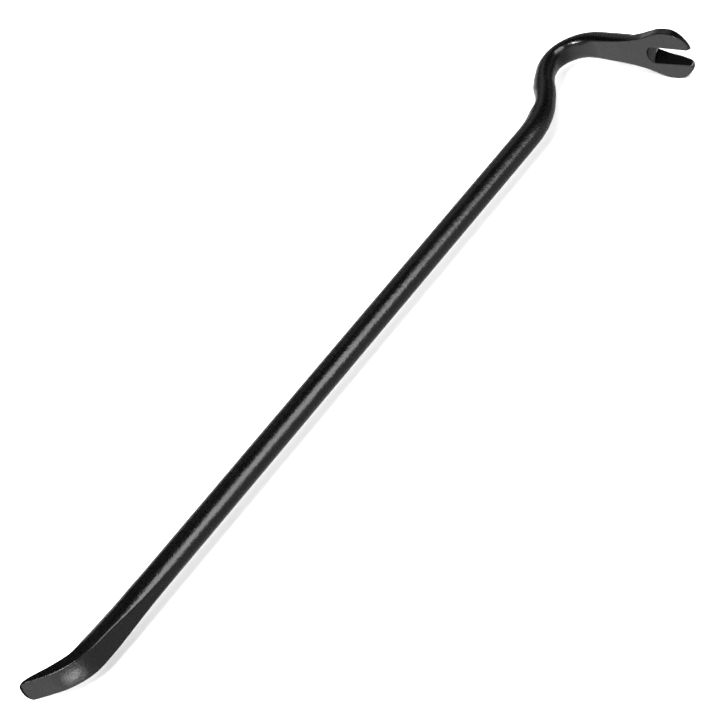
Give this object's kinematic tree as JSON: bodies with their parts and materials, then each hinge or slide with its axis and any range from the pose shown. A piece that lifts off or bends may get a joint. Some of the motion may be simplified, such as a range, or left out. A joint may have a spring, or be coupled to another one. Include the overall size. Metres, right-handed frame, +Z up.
{
  "type": "pry bar",
  "caption": "Gooseneck pry bar forged from round steel bar, with a hooked nail claw at one end and a bent chisel at the other.",
  "frame": {"origin": "centre of the bar's outline seen from above, on the surface that the claw's widest edge rests on", "axes": "+X along the shank from the chisel to the claw; the claw hooks towards -Y and the chisel kicks towards +Y; +Z up, square to the plane of the bends"},
  "size_m": [0.6009, 0.105, 0.0364],
  "materials": {
    "black_coat": "satin black powder coat with a fine grain"
  },
  "bodies": {
    "root": {"chisel_blade": "black_coat", "chisel_bend": "black_coat", "chisel_taper": "black_coat", "shank": "black_coat", "offset_bend": "black_coat", "neck": "black_coat", "hook_bend": "black_coat", "claw_arm": "black_coat", "claw_head": "black_coat", "claw_prong_upper": "black_coat", "claw_prong_lower": "black_coat"}
  },
  "joints": []
}
